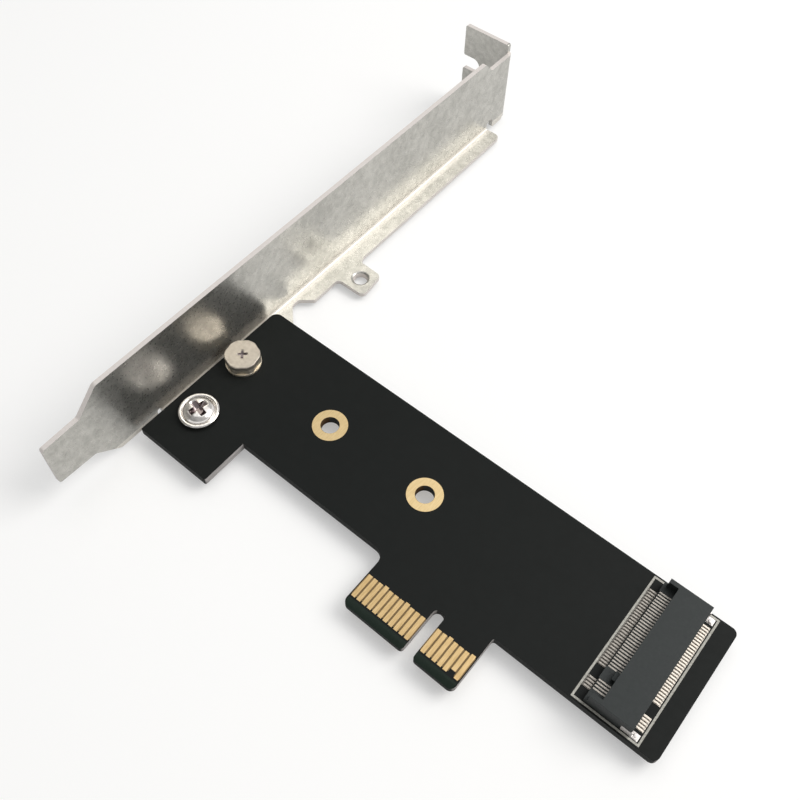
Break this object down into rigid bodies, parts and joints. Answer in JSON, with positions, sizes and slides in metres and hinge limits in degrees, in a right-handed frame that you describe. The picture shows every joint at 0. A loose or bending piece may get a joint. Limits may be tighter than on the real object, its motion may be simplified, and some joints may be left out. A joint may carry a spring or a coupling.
{
  "type": "drive adapter card",
  "caption": "Narrow black adapter card with a drive socket and a short card edge, screwed to a full-height steel expansion bracket.",
  "frame": {"origin": "the key slot's centre line at the tip of the card edge, half way through the board's thickness", "axes": "+X along the card away from the bracket, +Y along the bracket towards its screw flange, +Z out of the board's component side"},
  "size_m": [0.1045, 0.12, 0.0195],
  "materials": {
    "bracket_steel": "satin plated sheet with fine mottling",
    "board_mask": "matte black solder mask, pale cut edges",
    "contact_gold": "soft gold plating",
    "screw_plating": "bright nickel plating",
    "standoff_plating": "satin warm nickel plating",
    "socket_plastic": "slate black moulded plastic",
    "pin_metal": "pale gold plated spring metal",
    "solder": "soft bright solder",
    "ink": "printed pale ink"
  },
  "bodies": {
    "root": {"bracket": "bracket_steel", "circuit_board": "board_mask", "edge_contacts_top": "contact_gold", "edge_contacts_under": "contact_gold", "hole_rings_top": "contact_gold", "hole_rings_under": "contact_gold", "foot_screw": "screw_plating", "standoff": "standoff_plating", "clamp_screw": "standoff_plating", "socket_housing": "socket_plastic", "socket_pins_front": "pin_metal", "socket_pins_back": "pin_metal", "socket_pads_front": "solder", "socket_pads_back": "solder", "socket_solder_front": "solder", "socket_solder_back": "solder", "socket_anchors": "pin_metal", "socket_anchor_pads": "solder", "socket_anchor_solder": "solder", "socket_outline_ink": "ink"}
  },
  "joints": []
}
